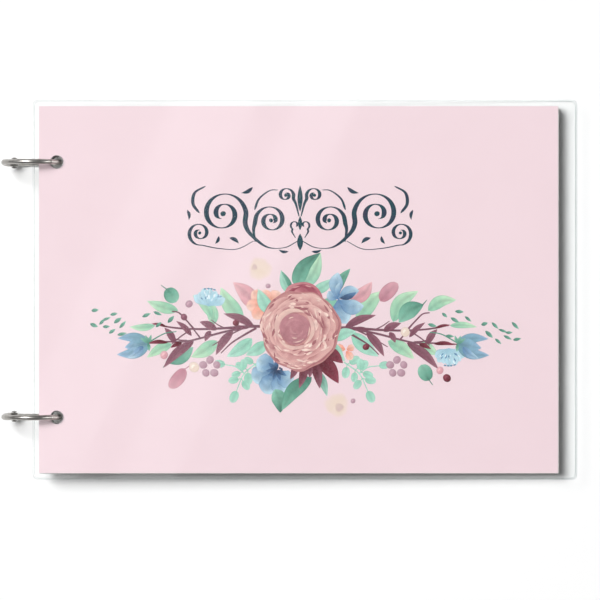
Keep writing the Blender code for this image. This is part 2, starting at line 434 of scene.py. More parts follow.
class Ink:
    """One piece of the print: closed films of ink, each a little above whatever it covers."""

    levels = {}  # how many films lie on each square millimetre, all pieces together

    def __init__(self):
        self.points, self.faces, self.tones = [], [], []

    def film(self, spots, faces, rim, tones):
        cells = set()
        for face in faces:
            across = [floor(spots[i][0]) for i in face]
            upward = [floor(spots[i][1]) for i in face]
            for x in range(min(across), max(across) + 1):
                cells |= {(x, y) for y in range(min(upward), max(upward) + 1)}
        level = 1 + max(Ink.levels.get(cell, 0) for cell in cells)
        Ink.levels.update(dict.fromkeys(cells, level))
        first, count = len(self.points), len(spots)
        top = INK_BASE + INK_STEP * (level + 1)
        self.points += [(x, y, top) for x, y in spots]
        self.points += [(*spots[i], INK_BASE) for i in rim]
        self.tones += tones + [tones[i] for i in rim]
        self.faces += [[first + i for i in face] for face in faces]
        for k in range(len(rim)):
            j = (k + 1) % len(rim)
            below, next_below = first + count + k, first + count + j
            self.faces.append([first + rim[k], below, next_below, first + rim[j]])
        self.faces.append([first + count + k for k in reversed(range(len(rim)))])

    def ribbon(self, line, half_width, tone):
        """A film along a line. half_width takes the share of the way; tone also the side, -1 to 1."""
        sides = (-1, -0.86, -0.45, -0.08, 0.08, 0.45, 0.86, 1)
        spots, tones = [], []
        for i, (place, left) in enumerate(line):
            u = i / (len(line) - 1)
            half = max(half_width(u), THINNEST)
            for v in sides:
                x, y = place + left * half * v
                spots.append((x, y))
                tones.append(tone(u, v, x, y))
        wide, last = len(sides), len(line) - 1
        faces = []
        for i in range(last):
            for k in range(wide - 1):
                a = i * wide + k
                faces.append((a, a + 1, a + wide + 1, a + wide))
        rim = [i * wide for i in range(last)] + [last * wide + k for k in range(wide - 1)]
        rim += [i * wide + wide - 1 for i in range(last, 0, -1)] + list(range(wide - 1, 0, -1))
        self.film(spots, faces, rim, tones)

    def disc(self, centre, radius, tone, around, rings=(0.3, 0.6, 0.84, 1)):
        """A round film. radius takes the angle; tone the share of the radius and the angle."""
        spots, tones = [tuple(centre)], [tone(0, 0, *centre)]
        for share in rings:
            for i in range(around):
                angle = 2 * pi * i / around
                reach = radius(angle) * share
                x, y = centre[0] + reach * cos(angle), centre[1] + reach * sin(angle)
                spots.append((x, y))
                tones.append(tone(share, angle, x, y))
        faces = [(0, 1 + i, 1 + (i + 1) % around) for i in range(around)]
        for ring in range(len(rings) - 1):
            a = 1 + ring * around
            for i in range(around):
                j = (i + 1) % around
                faces.append((a + i, a + around + i, a + around + j, a + j))
        rim = [1 + (len(rings) - 1) * around + i for i in range(around)]
        self.film(spots, faces, rim, tones)

    def piece(self, name, material):
        bm = bmesh.new()
        corners = [bm.verts.new(p) for p in self.points]
        for face in self.faces:
            bm.faces.new([corners[i] for i in face])
        mesh = closed_mesh(bm, name)
        pigment = mesh.color_attributes.new("pigment", "FLOAT_COLOR", "POINT")
        values = []
        for tone in self.tones:
            values += [*(PAINT_DEPTH * c for c in linear(tone)), 1.0]
        pigment.data.foreach_set("color", values)
        onto_page = Matrix.Translation((PAGE_MIDDLE, 0, TITLE_TOP)) @ Matrix.Scale(0.001, 4)
        mesh.transform(ALBUM @ onto_page)
        add_piece(name, mesh, "title_page", "printed_card", [material])


def ink_material(name, roughness, grain=0.04):
    """Printed ink: the films' own pigment, with a fine grain of the paper's colour."""
    n = Nodes(name)
    pigment = n.add("ShaderNodeVertexColor", layer_name="pigment").outputs["Color"]
    specks = n.between(n.noise(1100, detail=4), 0.0, grain)
    look = {
        "Base Color": n.mix(specks, pigment, linear(PAPER)),
        "Roughness": n.between(n.noise(400), roughness - 0.06, roughness + 0.06),
        "Specular IOR Level": 0.15,
    }
    n.feed(n.shader, look)
    return n.material


def wash(colours, rim=0.10, rib=0.08):
    """The tones of a leaf painted from its base colour to its tip colour, darker where paint pooled."""

    def tone(u, v, x, y):
        colour = blend(*colours, u + 0.22 * dapple(x, y) + 0.15 * v)
        depth = 1 - rim * (abs(v) > 0.9) - rib * (abs(v) < 0.1) * (u < 0.9) + 0.06 * dapple(y, x, 4)
        return lit(colour, depth)

    return tone


def leaf(ink, base, tip, width, colours, bend=0.0, widest=0.42, rib=0.08):
    """A leaf or petal with a pointed tip. widest is where it is widest, as a share of its length."""
    power = log(0.5) / log(widest)
    line = bowed(base, tip, bend, 16)
    ink.ribbon(line, lambda u: width / 2 * sin(pi * u**power) ** 0.85, wash(colours, rib=rib))


def round_leaf(ink, base, tip, width, colours, bend=0.0, stem=None):
    """A blunt leaf, nearly an ellipse. stem is the point where its stalk starts."""
    if stem:
        stalk(ink, [stem, base], 0.28, 0.25, colours[0])
    line = bowed(base, tip, bend, 16)
    ink.ribbon(line, lambda u: width / 2 * sqrt(max(1 - (2 * u - 1) ** 2, 0)), wash(colours, rib=0.05))


def stalk(ink, points, start, end, colour):
    """A thin line whose half width runs from start to end."""

    def tone(u, v, x, y):
        return lit(colour, 1 + 0.10 * dapple(x, y, 2) + 0.05 * v)

    ink.ribbon(course(points, 8), lambda u: start + (end - start) * u, tone)


def berry(ink, centre, radius, colours, shine=0.12):
    """A round berry, darker to its lower right, with a lighter spot."""

    def tone(share, angle, x, y):
        light = 0.5 - 0.5 * share * cos(angle - radians(-40)) + 0.15 * dapple(x, y, 7)
        colour = blend(*colours, light)
        gleam = shine * (share == 0.3) * (cos(angle - radians(130)) > 0.3)
        return lit(colour, 1 - 0.1 * (share == 1), gleam)

    ink.disc(centre, lambda angle: radius * (1 + 0.05 * sin(2 * angle + centre[0])), tone, 20)


def blot(ink, centre, radius, colours, page, seed):
    """A soft stain that fades out into what it lies on."""

    def tone(share, angle, x, y):
        colour = blend(*colours, 0.5 + 0.6 * dapple(x, y, seed))
        return blend(colour, page, share**5)

    def edge(angle):
        return radius * (1 + 0.07 * sin(3 * angle + seed) + 0.04 * sin(7 * angle))

    ink.disc(centre, edge, tone, 32, (0.2, 0.4, 0.6, 0.78, 0.9, 1))


def dab(ink, place, length, width, angle, colours):
    """A short pointed touch of the brush."""
    way = heading(angle) * length / 2
    leaf(ink, Vector(place) - way, Vector(place) + way, width, colours, widest=0.45, rib=0)


def flower(ink, centre, petals, colours, heart, seed):
    """Broad petals round a centre, given as (direction, length, width), and a speckled heart."""
    centre = Vector(centre)
    for direction, length, width in petals:
        way = heading(direction)
        line = bowed(centre + way * length * 0.08, centre + way * length, 0.05 * sin(direction), 16)

        def half_width(u):
            return width / 2 * sqrt(max(sin(pi * min(u**1.35, 1.0)), 0)) * (1 + 0.06 * sin(19 * u))

        ink.ribbon(line, half_width, wash(colours, rim=0.08, rib=0.05))
    rng = random.Random(seed)
    for _ in range(16 if heart else 0):
        angle, far = rng.uniform(0, 2 * pi), rng.uniform(0.2, 3.4)
        spot = centre + far * Vector((cos(angle), sin(angle)))
        berry(ink, spot, rng.uniform(0.35, 0.75), (heart, blend(heart, (1, 1, 1), 0.2)), 0)


def sprig(ink, base, tip, leaves, size, colours, side, seed):
    """A stalk with round leaves in pairs along it and one at its end."""
    rng = random.Random(seed)
    line = bowed(base, tip, 0.12 * side, 20)
    stalk(ink, [p for p, _ in line[::4]], 0.42, 0.25, blend(colours[0], colours[1], 0.5))
    for i in range(leaves):
        place, left = line[2 + i * (len(line) - 4) // leaves]
        ahead = Vector((left.y, -left.x))
        for turn in (-1, 1):
            way = (ahead * rng.uniform(0.35, 0.8) + left * turn).normalized()
            long = size * rng.uniform(0.85, 1.15)
            start = place + way * size * 0.22
            round_leaf(ink, start, start + way * long, long * 0.68, colours, 0, tuple(place))
    end, left = line[-1]
    ahead = Vector((left.y, -left.x))
    round_leaf(ink, end, end + ahead * size * 1.1, size * 0.75, colours)


def cluster(ink, centre, radius, colours):
    """Five small berries in a ring."""
    for i in range(5):
        angle = radians(90 + 72 * i)
        spot = (centre[0] + radius * 1.32 * cos(angle), centre[1] + radius * 1.32 * sin(angle))
        berry(ink, spot, radius * (0.72 + 0.06 * sin(3 * i)), colours, 0.05)


# The garland


def garland_leaves(ink):
    """Broad leaves, furthest ones first, right of the rose and then left of it."""
    right = (
        ((54.1, -18.5), (68.4, -0.8), 8.5, FRESH, 0.16),
        ((74.1, -12), (90.1, -5.9), 7, FRESH, 0.14),
        ((33.5, -17.5), (48.3, -0.8), 9.5, FRESH, 0.05),
        ((51.2, -29.4), (66.1, -39.6), 7.5, FRESH, 0.06),
        ((30.6, -24.8), (45.6, -38.2), 8.5, MINT, -0.04),
        ((69, -30), (80, -37.5), 6, FRESH, 0),
        ((86.7, -20.6), (102, -21.4), 3.8, FRESH, 0.05),
    )
    left = (
        ((31.7, -16.6), (44.4, 1.2), 9, FRESH, -0.08),
        ((68.9, -12), (86.5, -6.6), 6.5, FRESH, -0.04),
        ((72.4, -31.1), (86.6, -38.8), 5.8, FRESH, 0.05),
        ((46.6, -29.4), (61.4, -38.6), 8, FRESH, -0.05),
        ((26.6, -28), (40.9, -38.3), 7.5, MINT, -0.06),
        ((18, -30), (30, -37.5), 7, MINT, -0.05),
        ((82.1, -20.6), (96.6, -21.4), 4.2, FRESH, -0.05),
        ((48.6, -20), (51.2, -6), 6.5, FRESH, 0.05),
        ((49.5, -16), (60.5, -3.4), 5.5, FRESH, 0.10),
    )
    for side, rows in ((1, right), (-1, left)):
        for base, tip, width, colours, bend in rows:
            ends = [(side * x, y) for x, y in (base, tip)]
            leaf(ink, *ends, width, colours, side * bend)


def garland_dark_leaves(ink):
    leaf(ink, (57.5, -18.8), (71.5, -8.6), 9.5, GREEN, 0.12, 0.5)
    stalk(ink, [(70.5, -9.4), (73.4, -6)], 0.35, 0.2, DEEP[0])
    round_leaf(ink, (70.2, -43), (74.8, -52), 8.2, GREEN)
    stalk(ink, [(73.6, -50.2), (76.8, -54.6)], 0.35, 0.2, DEEP[0])
    round_leaf(ink, (-70, -7.2), (-75.4, 0.6), 8.4, GREEN)
    stalk(ink, [(-74.4, -0.6), (-78.6, 2.6)], 0.35, 0.2, DEEP[0])
    leaf(ink, (-60.2, -33), (-76, -41.4), 9, GREEN, 0.06, 0.5)
    stalk(ink, [(-74.8, -40.8), (-77.4, -44.6)], 0.35, 0.2, DEEP[0])


def garland_twigs(ink):
    """Branching twigs with narrow leaves, much the same on both sides."""
    for s in (1, -1):
        drop = 0.8 if s == 1 else 0
        out = 1 if s == 1 else 0.965

        def at(x, y):
            return (s * x * out, y - drop)

        for points, start, end in (
            ([(21, -21), (32, -21.2), (46, -22.2), (60, -22.6), (74, -21.8), (86, -19.6)], 0.75, 0.35),
            ([(30, -21.6), (44, -24.2), (58, -27.8), (68, -29.8), (80, -29.8), (92, -30.6)], 0.6, 0.3),
            ([(25, -22), (33, -26.4), (40, -30.8), (46, -36.4)], 0.6, 0.25),
            ([(34, -22.6), (42, -26.6), (51, -32)], 0.42, 0.22),
            ([(62, -22.4), (67, -17), (71, -13.2), (75, -12.4)], 0.42, 0.3),
            ([(58, -28), (62, -23), (66.5, -17.6)], 0.42, 0.22),
            ([(64, -23), (70, -27), (75, -31)], 0.4, 0.25),
            ([(66, -29.2), (72, -28.6), (78, -26)], 0.4, 0.25),
            ([(44, -22), (48, -20), (52, -17.2)], 0.35, 0.2),
            ([(26, -20.8), (33, -19), (38, -16)], 0.35, 0.2),
            ([(24, -20.6), (30, -20), (35, -17.8)], 0.3, 0.18),
        ):
            stalk(ink, [at(*p) for p in points], start * 1.15, end * 1.2, TWIG)
        for base, tip, width, colours in (
            ((26.6, -20.8), (44.3, -13.8), 4.6, MAROON),
            ((38.8, -23.6), (49, -37.4), 4.8, MAROON),
            ((48.6, -23.1), (58.6, -18.4), 4.4, MAROON),
            ((52, -23.6), (55.4, -29.6), 3.4, MAROON),
            ((63.4, -26.4), (72.4, -18), 3.2, MAROON),
            ((73.4, -30.4), (79.4, -21.8), 4, MAROON),
            ((62, -29.6), (80, -44.6), 5.4, MAROON),
            ((77.5, -30.3), (89.5, -30.8), 2.4, WINE),
            ((69, -30.4), (75.8, -33.2), 2.6, WINE),
            ((78, -21.4), (87, -19.4), 1.7, WINE),
            ((30, -21.8), (42, -22.6), 2.2, (MAROON[0], MAROON[0])),
        ):
            leaf(ink, at(*base), at(*tip), width, colours, s * 0.06)


def garland_dabs(ink):
    """Little green touches at the two tips of the garland."""
    rng = random.Random(12)
    for s, spots in (
        (1, [(76.5, -20.4), (83.6, -14.6), (89.4, -17.4), (92, -12.6), (97, -16.8)]),
        (1, [(106.4, -19.6), (112.4, -20.6), (117, -23.6), (124, -20.6), (109, -25.6)]),
        (1, [(114.2, -29.6), (119.6, -27.4), (120.4, -24.6), (125, -28.4), (86.5, -26.6)]),
        (-1, [(73, -17), (80.6, -13.6), (87, -14.6), (80, -20), (101, -25.4)]),
        (-1, [(100.6, -20), (105.6, -14), (110, -16.8), (116.4, -11.8), (112.4, -18.4)]),
        (-1, [(110, -21.2), (106.6, -23.8), (117, -20.4), (97.4, -26.6), (103.4, -17.6)]),
    ):
        for x, y in spots:
            lean = rng.uniform(-50, 25) * s
            dab(ink, (s * x, y), rng.uniform(3.8, 5.8), rng.uniform(1.5, 2.3), lean, DEEP)


def garland_buds(ink):
    """A blue bud at each end of the lower twigs, with green sepals."""
    for s, x, y in ((1, 91, -31), (-1, 85.8, -30.6)):

        def at(dx, dy):
            return (s * (x + dx), y + dy)

        base = at(0, 0)
        for dx, dy, width, bend in ((17.5, 2.8, 6.2, 0.1), (18, -6.6, 7.4, -0.12), (13.5, -2.4, 8.4, 0)):
            leaf(ink, base, at(dx, dy), width, BUD, s * bend, 0.36)
        leaf(ink, at(3, -1.8), at(12, -8.4), 4.4, BLUE, s * -0.1, 0.4)
        stalk(ink, [at(0, 0.4), at(-9, 5.4), at(-16, 6.6)], 0.4, 0.25, GREEN[1])
        for dx, dy in ((-1.6, 4.8), (1.8, 4.6), (4.6, 3.2), (-0.4, -4.6)):
            leaf(ink, base, at(dx, dy), 1.9, (GREEN[1], GREEN[0]))


def garland_fruit(ink):
    for centre, radius, colours in (
        ((38.6, -32.8), 1.9, WINE),
        ((84.9, -50.6), 2.3, WINE),
        ((80.9, -46.2), 2.1, PINK),
        ((61, -24.2), 2.7, CREAM),
        ((31.2, -63.7), 1.4, MAUVE),
        ((-17.4, 2.1), 1.4, MAUVE),
        ((-62.6, -8.2), 2.1, MAUVE),
        ((-65.5, -15.7), 1.9, MAROON),
        ((-35.8, -19.1), 1.8, WINE),
        ((-76.9, -37.4), 2.3, PINK),
        ((-59.8, -44.3), 3, CREAM),
    ):
        berry(ink, centre, radius, colours)
    cluster(ink, (56.3, -44.3), 3.1, MAUVE)
    cluster(ink, (-50.6, -44.3), 3.1, MAUVE)
    round_leaf(ink, (46.8, -6.6), (56.8, 3.6), 8, DUSKY, 0.04)
    round_leaf(ink, (-64.9, -45.2), (-73.9, -56.2), 7.4, DUSKY, 0.04)
    stalk(ink, [(-65.4, -45.8), (-62.4, -43.6)], 0.3, 0.2, DUSKY[0])


def garland_sprigs(ink):
    sprig(ink, (26, -41.5), (39.6, -58), 3, 6.6, MINT, 1, 3)
    sprig(ink, (34.6, -48), (46, -43.6), 1, 5.8, MINT, 1, 5)
    sprig(ink, (-23, -41.5), (-35.4, -58), 3, 6.6, MINT, -1, 4)
    sprig(ink, (-31, -48), (-42, -43), 1, 5.8, MINT, -1, 6)


def garland_near_rose(ink):
    """Petals and leaves that show round the rose's edge."""
    leaf(ink, (1, 1), (12.6, 21.4), 8.4, (GREEN[0], FRESH[1]), -0.10, 0.36)
    leaf(ink, (-1.6, 2), (12.4, 21), 8.6, (DEEP[1], DEEP[0]), 0.12, 0.32)
    leaf(ink, (-4.4, -2.4), (-10, 10.8), 5.6, MINT, 0.05)
    leaf(ink, (-3.2, -2.6), (-10.2, 11.2), 2.6, DEEP, -0.06)
    leaf(ink, (8, -1), (19.6, 6.2), 6, (GREEN[0], MINT[1]), -0.08)
    leaf(ink, (12, -7), (27, -16.4), 12, (DEEP[1], GREEN[0]), 0)
    leaf(ink, (29.8, -6.6), (42, 4.4), 8, PINK, -0.10)
    leaf(ink, (-24.2, -11.6), (-37.4, 4.2), 9.6, PINK, -0.08)
    leaf(ink, (21, -3), (29.6, 12), 5.6, DEEP, 0.08)
    for tip, width, bend in (
        ((17, -1), 6, 0.1),
        ((22.6, 9.8), 8, 0.08),
        ((27.6, -19.4), 12.5, -0.06),
        ((37.4, -9.4), 9, -0.16),
        ((34.6, -0.6), 7, 0.12),
    ):
        leaf(ink, (22.6, -5.4), tip, width, BLUE, bend, 0.58, rib=0.05)
    leaf(ink, (23.6, -5), (33, -1.6), 3.4, (NAVY, BLUE[0]), -0.08, 0.5, rib=0)
    leaf(ink, (23, -4.4), (23.4, 4), 3.2, BLUE, 0.1, 0.5, rib=0)
    flower(ink, (27.2, -34.6), [(160, 6.5, 4.5), (20, 5, 4), (-60, 6.5, 4.5)], CORAL, None, 2)
    leaf(ink, (20, -29), (33, -24), 6.4, MINT, 0.1)
    leaf(ink, (21, -31), (26.6, -41), 5.2, MINT, -0.1)
    petals = [(40, 12, 7.5), (85, 9.5, 7), (130, 11, 7.5), (180, 10.5, 7), (230, 9.5, 7)]
    flower(ink, (-19.4, -9.4), petals, CORAL, None, 8)
    leaf(ink, (-15.4, -14), (-23, 0.2), 7.6, MINT, 0.04)
    petals = [(200, 14.5, 11.5), (150, 12.5, 11), (245, 14.5, 11.5), (285, 13.5, 11), (325, 12, 10)]
    flower(ink, (-13, -46.4), petals, BLUE, NAVY, 11)
    for direction in (95, 140, 185, 215, 250, 290, 330):
        way = heading(direction)
        dab(ink, Vector((-12.4, -46)) + way * 3.2, 6.4, 2.4, direction, (NAVY, BLUE[0]))
    leaf(ink, (-13.4, -57), (-10.4, -70.4), 8.6, (GREEN[0], DEEP[0]), 0.08)
    leaf(ink, (7.6, -50.2), (-9.6, -69), 8.8, DEEP, -0.10)
    leaf(ink, (10.6, -46), (16.4, -61), 4.8, (DEEP[0], MINT[1]), 0.04)
    for base, tip, width in (
        ((11, -38), (22.9, -53.6), 8.6),
        ((14, -34), (25.4, -42), 7),
        ((8, -40), (12.2, -56.6), 5.6),
        ((3.6, -40), (0.4, -56.4), 5),
        ((-1, -41), (-4.6, -51.4), 4),
        ((6, -42), (6.4, -50.4), 3.4),
    ):
        leaf(ink, base, tip, width, (WINE[0], MAROON[1]) if width < 6 else WINE, 0.05)


def garland_pale_flowers(ink):
    """A cornflower-like pale blue flower on each side, seen from the side."""
    rng = random.Random(21)
    for centre, facing in (((86, -33.4), -88), ((-51.6, -9.6), 84)):
        centre = Vector(centre)
        for turn in (-58, 58, -40, 40, -22, 22, 0):
            way = heading(facing + turn)
            leaf(ink, centre, centre + way * rng.uniform(9.2, 11), 5.4, SKY, 0, 0.66, rib=0.03)
        for _ in range(26):
            turn = rng.uniform(-50, 50)
            way = heading(facing + turn)
            colours = rng.choice(((BLUE[0], BLUE[0]), SKY, ((0.9, 0.95, 0.97),) * 2))
            place = centre + way * rng.uniform(4.5, 9.6)
            dab(ink, place, rng.uniform(1.2, 2.4), 0.7, facing + turn, colours)
        for turn in (-14, -4, 6, 17):
            way = heading(facing + turn)
            dab(ink, centre + way * 10.2, 1.8, 0.9, facing + 90 + turn, ((0.42, 0.60, 0.70),) * 2)


def petal_tone(lip, depth, seed):
    """The tones of a petal from its lip to the shade it dips into."""

    def tone(u, v, x, y):
        into = 0.5 + 0.5 * v + 0.35 * dapple(x * 0.9, y * 0.9, seed)
        return blend(lip, depth, into**1.4 if into > 0 else 0)

    return tone


def rose(ink, centre, swirl, radius, seed):
    """An open rose: an uneven disc, petal edges in rings that drift to the swirl, and light touches."""
    rng = random.Random(seed)
    centre, swirl = Vector(centre), Vector(swirl)
    light, middle, dark = (0.88, 0.68, 0.66), (0.79, 0.56, 0.55), (0.63, 0.38, 0.41)
    cream = (0.99, 0.91, 0.86)

    def outline(angle):
        return radius * (1 + 0.026 * sin(3 * angle + 0.6) + 0.02 * sin(7 * angle) + 0.014 * sin(11 * angle))

    def ground(share, angle, x, y):
        colour = blend(middle, light, 0.5 + 0.55 * dapple(x * 0.8, y * 0.8, 3))
        return blend(colour, dark, 0.3 * (share > 0.95) + 0.1 * share)

    def place(share, angle):
        return swirl.lerp(centre, share) + heading(angle) * outline(radians(angle)) * share

    def arc_line(share, start, span, steps, drift=0):
        """Part of a ring round the rose, as a line from angle start. drift takes its end inwards."""
        line = []
        for i in range(steps + 1):
            angle = start + span * i / steps
            line.append((place(share - drift * i / steps, angle), -heading(angle)))
        return line

    ink.disc(centre, outline, ground, 72, (0.15, 0.3, 0.45, 0.6, 0.75, 0.88, 0.96, 1))
    for start in (-84, -30, 18):
        line = arc_line(0.965, start, 58, 18)
        ink.ribbon(line, swelling(0.8, 0.6), petal_tone(middle, dark, start))
    for share, count, depth, turn in (
        (0.83, 4, 0.165, 20),
        (0.70, 5, 0.13, 65),
        (0.59, 4, 0.115, 5),
        (0.50, 3, 0.09, 50),
    ):
        for i in range(count):
            start = 360 / count * i + turn + rng.uniform(-9, 9)
            span = 360 / count * rng.uniform(1.05, 1.3)
            lip = blend(light, cream, rng.uniform(0, 0.4))
            tone = petal_tone(lip, blend(middle, dark, rng.uniform(0.35, 1)), rng.uniform(0, 20))
            half = radius * depth * rng.uniform(0.8, 1.1)
            line = arc_line(share, start, span, 22, rng.uniform(0.02, 0.09))
            ink.ribbon(line, swelling(half, 0.55, 0.08, 17), tone)
    rose_dabs(ink, rng, place, (light, middle, dark, cream))
    rose_swirl(ink, swirl, radius * 0.385, rng)


def rose_dabs(ink, rng, place, tones):
    """Touches along the petals, most of them pale. place takes a share of the radius and an angle."""
    light, middle, dark, cream = tones
    for _ in range(120):
        share, angle = rng.uniform(0.45, 0.97), rng.uniform(0, 360)
        colours = (blend(light, cream, rng.uniform(0.5, 1)), blend(light, cream, rng.uniform(0.1, 0.8)))
        if rng.random() < 0.28:
            colours = (dark, blend(dark, middle, 0.5))
        along = angle + 90 + rng.gauss(0, 16)
        dab(ink, place(share, angle), rng.uniform(1.8, 6.4), rng.uniform(0.45, 1.7), along, colours)


def rose_swirl(ink, centre, radius, rng):
    """The rolled petals in the rose's middle, with a cream lip round them."""
    deep, mauve, pale = (0.66, 0.44, 0.47), (0.77, 0.54, 0.57), (0.93, 0.80, 0.75)

    def arc_line(out, start, span, steps=18):
        line = []
        for i in range(steps + 1):
            way = heading(start + span * i / steps)
            line.append((centre + way * radius * out, -way))
        return line

    def ground(share, angle, x, y):
        return blend(mauve, deep, 0.35 + 0.5 * dapple(x, y, 6) - 0.25 * share * sin(angle))

    for out, start, span, half in ((1.22, 60, 150, 1.5), (1.16, -60, 110, 1.1), (1.24, 215, 95, 1)):
        lip = wash((pale, blend(pale, mauve, 0.35)), 0.04, 0)
        ink.ribbon(arc_line(out, start, span), swelling(half, 0.7), lip)
    ink.disc(centre, lambda angle: radius * (1 + 0.03 * sin(3 * angle)), ground, 40)
    for out, start, span, half in (
        (0.99, 70, 140, 0.35),
        (0.80, 200, 160, 0.8),
        (0.62, 20, 150, 0.9),
        (0.52, 230, 120, 0.7),
        (0.30, 100, 200, 0.6),
    ):
        tint = (blend(mauve, deep, rng.uniform(0.3, 0.9)), blend(mauve, pale, rng.uniform(0, 0.35)))
        ink.ribbon(arc_line(out, start, span), swelling(half, 0.7), wash(tint, 0.06, 0))
    for out, start, span in ((0.78, 96, 26), (0.60, 250, 34), (0.86, 262, 50), (0.94, 330, 40)):
        ink.ribbon(arc_line(out, start, span, 8), swelling(0.3, 0.8), wash((pale, pale), 0, 0))


def rose_crown(ink):
    """The dark outer petals behind the rose's upper edge."""
    light, rosy, dark = (0.84, 0.60, 0.61), (0.76, 0.44, 0.49), (0.60, 0.27, 0.34)
    outer = [(-8, -3.6), (-3.4, 0.4), (3.4, 1.2), (9.8, -1.6), (13.8, -7)]
    inner = [(-5.4, -2.6), (-1.2, 0.2), (4.4, 0.6), (9.8, -2.4), (13.2, -6.8)]
    middle = [(-3, -2.4), (2, -0.6), (8, -3.2)]
    for points, half, ripple, colours in (
        (outer, 3.1, 0.07, (light, rosy)),
        (inner, 2.3, 0, (dark, blend(dark, light, 0.3))),
        (middle, 1.9, 0, (light, dark)),
    ):
        ink.ribbon(course(points, 6), swelling(half, 0.5, ripple, 13), wash(colours, 0.06, 0))
    for place, length, angle, colour in (
        ((-4.6, -0.6), 4, 34, dark),
        ((-1.4, 1.5), 4.6, 14, light),
        ((2.6, 2.4), 3.4, 2, dark),
        ((5.8, 1.9), 4.2, -14, light),
        ((9, 0.2), 4.4, -32, dark),
        ((11.8, -2.4), 3.6, -48, rosy),
    ):
        dab(ink, place, length, 0.9, angle, (colour, blend(colour, light, 0.4)))


# The flourish: an ornament of pen strokes, the same on both sides

FLOURISH = Vector((0.9, 41))
HAIR = 0.24  # half the width of a fine stroke


def mirrored(side, *spots):
    """Points of the flourish as places on the page, on its right (1) or its left (-1)."""
    return [FLOURISH + Vector((side * x, y)) for x, y in spots]


def curl(centre, start_radius, end_radius, start, turn):
    """Points on a spiral that closes in on its centre."""
    count = max(int(abs(turn) / 30), 2)
    points = []
    for i in range(count + 1):
        share = i / count
        radius = start_radius + (end_radius - start_radius) * share**0.8
        angle = radians(start + turn * share)
        points.append((centre[0] + radius * cos(angle), centre[1] + radius * sin(angle)))
    return points


def pen(ink, points, side, thick):
    """A pen stroke: broad where it runs down the page, fine where it runs across."""
    line = course(mirrored(side, *points), 7)
    slope = [abs(left.x) ** 1.6 for _, left in line]
    nearby = [slope[max(i - 3, 0) : i + 4] for i in range(len(slope))]
    slope = [sum(values) / len(values) for values in nearby]

    def half_width(u):
        here = slope[min(round(u * (len(line) - 1)), len(line) - 1)]
        return (HAIR + (thick - HAIR) * here) * min(1, 0.35 + 7 * u, 0.35 + 9 * (1 - u))

    def tone(u, v, x, y):
        return blend(TEAL_INK, SLATE_INK, 0.45 + 0.9 * dapple(x, y, 5))

    ink.ribbon(line, half_width, tone)


def flourish(ink):
    for s in (1, -1):
        main = [(1.6, -13.4), (9, -17), (19, -16.6), (28, -9.6)]
        pen(ink, main + curl((44, 2.4), 14, 3, 205, -640), s, 1.45)
        outer = [(26.6, -13.2), (36, -17.8), (47, -17.4)]
        pen(ink, outer + curl((57.4, -8.6), 7.4, 1.6, 255, 560), s, 1.05)
        inner = [(25.6, -13.6), (26.6, -7)]
        pen(ink, inner + curl((16.6, -1.4), 9.4, 2, -10, 600), s, 1.3)
        pen(ink, [(0.6, 1), (2.4, 8)] + curl((8.2, 13), 4.9, 1.2, 205, -480), s, 1)
        pen(ink, [(2.6, -11.4), (4.6, -8)] + curl((2.9, -4), 2.9, 1, -60, 300), s, 0.6)
        pen(ink, [(26, 4.6), (23.4, 11), (17.4, 15.6), (12.6, 16)], s, 0.7)
        pen(ink, [(57.6, 2.8), (61.2, 8), (60.2, 14.4), (54, 18.2)], s, 1)
        for base, tip, width in (
            ((33.6, 14.2), (27, 17.6), 2.2),
            ((35, -14.6), (40.4, -11.4), 2.2),
            ((48.6, -14.8), (46.4, -10.4), 1.8),
            ((12.4, -18.2), (6.6, -19.2), 1.6),
            ((63.6, -1.2), (64.6, 4.6), 1.8),
        ):
            leaf(ink, *mirrored(s, base, tip), width, (TEAL_INK, SLATE_INK), s * 0.12, 0.55, rib=0)
        for x, y, radius in ((8.2, 13, 0.95), (16.6, -1.4, 1.15), (44, 2.4, 1.5), (57.4, -8.6, 0.9)):
            berry(ink, *mirrored(s, (x, y)), radius, (TEAL_INK, TEAL_INK), 0)
    for low, high, width in ((-18.6, -9, 3.4), (3.6, 18.6, 3), (-7, 1, 2.4)):
        leaf(ink, *mirrored(1, (0, low), (0, high)), width, (TEAL_INK, TEAL_INK), 0, 0.5, rib=0)


def make_print():
    paint = ink_material("watercolour_print", 0.5)
    draw = {
        "print_leaves": (garland_leaves, garland_dark_leaves),
        "print_twigs": (garland_twigs, garland_dabs),
        "print_sprigs": (garland_sprigs,),
        "print_fruit": (garland_fruit,),
        "print_flowers": (garland_pale_flowers, garland_buds, garland_near_rose),
    }
    ink = Ink()
    blot(ink, (-22, 11.8), 6.9, CREAM, PAGE_LIT, 2)
    blot(ink, (22, -66), 7.2, CREAM, PAGE_LIT, 5)
    speck = (blend(MAUVE[1], CREAM[0], 0.35), blend(MAUVE[1], CREAM[0], 0.7))
    blot(ink, (-25.2, 12.8), 1.8, speck, CREAM[0], 3)
    blot(ink, (23.4, -67.4), 2.6, speck, CREAM[0], 1)
    ink.piece("print_stains", paint)
    for name, steps in draw.items():
        ink = Ink()
        for step in steps:
            step(ink)
        ink.piece(name, paint)
    ink = Ink()
    rose_crown(ink)
    rose(ink, (0.9, -23.1), (-2, -22.5), 22.8, 7)
    ink.piece("print_rose", paint)
    ink = Ink()
    flourish(ink)
    ink.piece("print_flourish", ink_material("pen_ink", 0.4, 0.03))


# Rings: in a ring's own plane, XZ, with the ring's centre at the origin

LUG_BEVEL = 0.00015
CLASP_EDGE = 0.0002
CLASP_RUN = 0.0004  # the wire is even from here on
SHOULDER_LENGTH = 0.0012
SHOULDER_SIZE = 0.62
UNDER_LUG = 0.0001  # the wire ends this far inside the fork, across the ring
UNDER_FORK = 0.00003  # and this far along its axis
DOME_ANGLE = 80


def on_ring(angle, radius=RING_RADIUS):
    return Vector((radius * cos(radians(angle)), 0, radius * sin(radians(angle))))


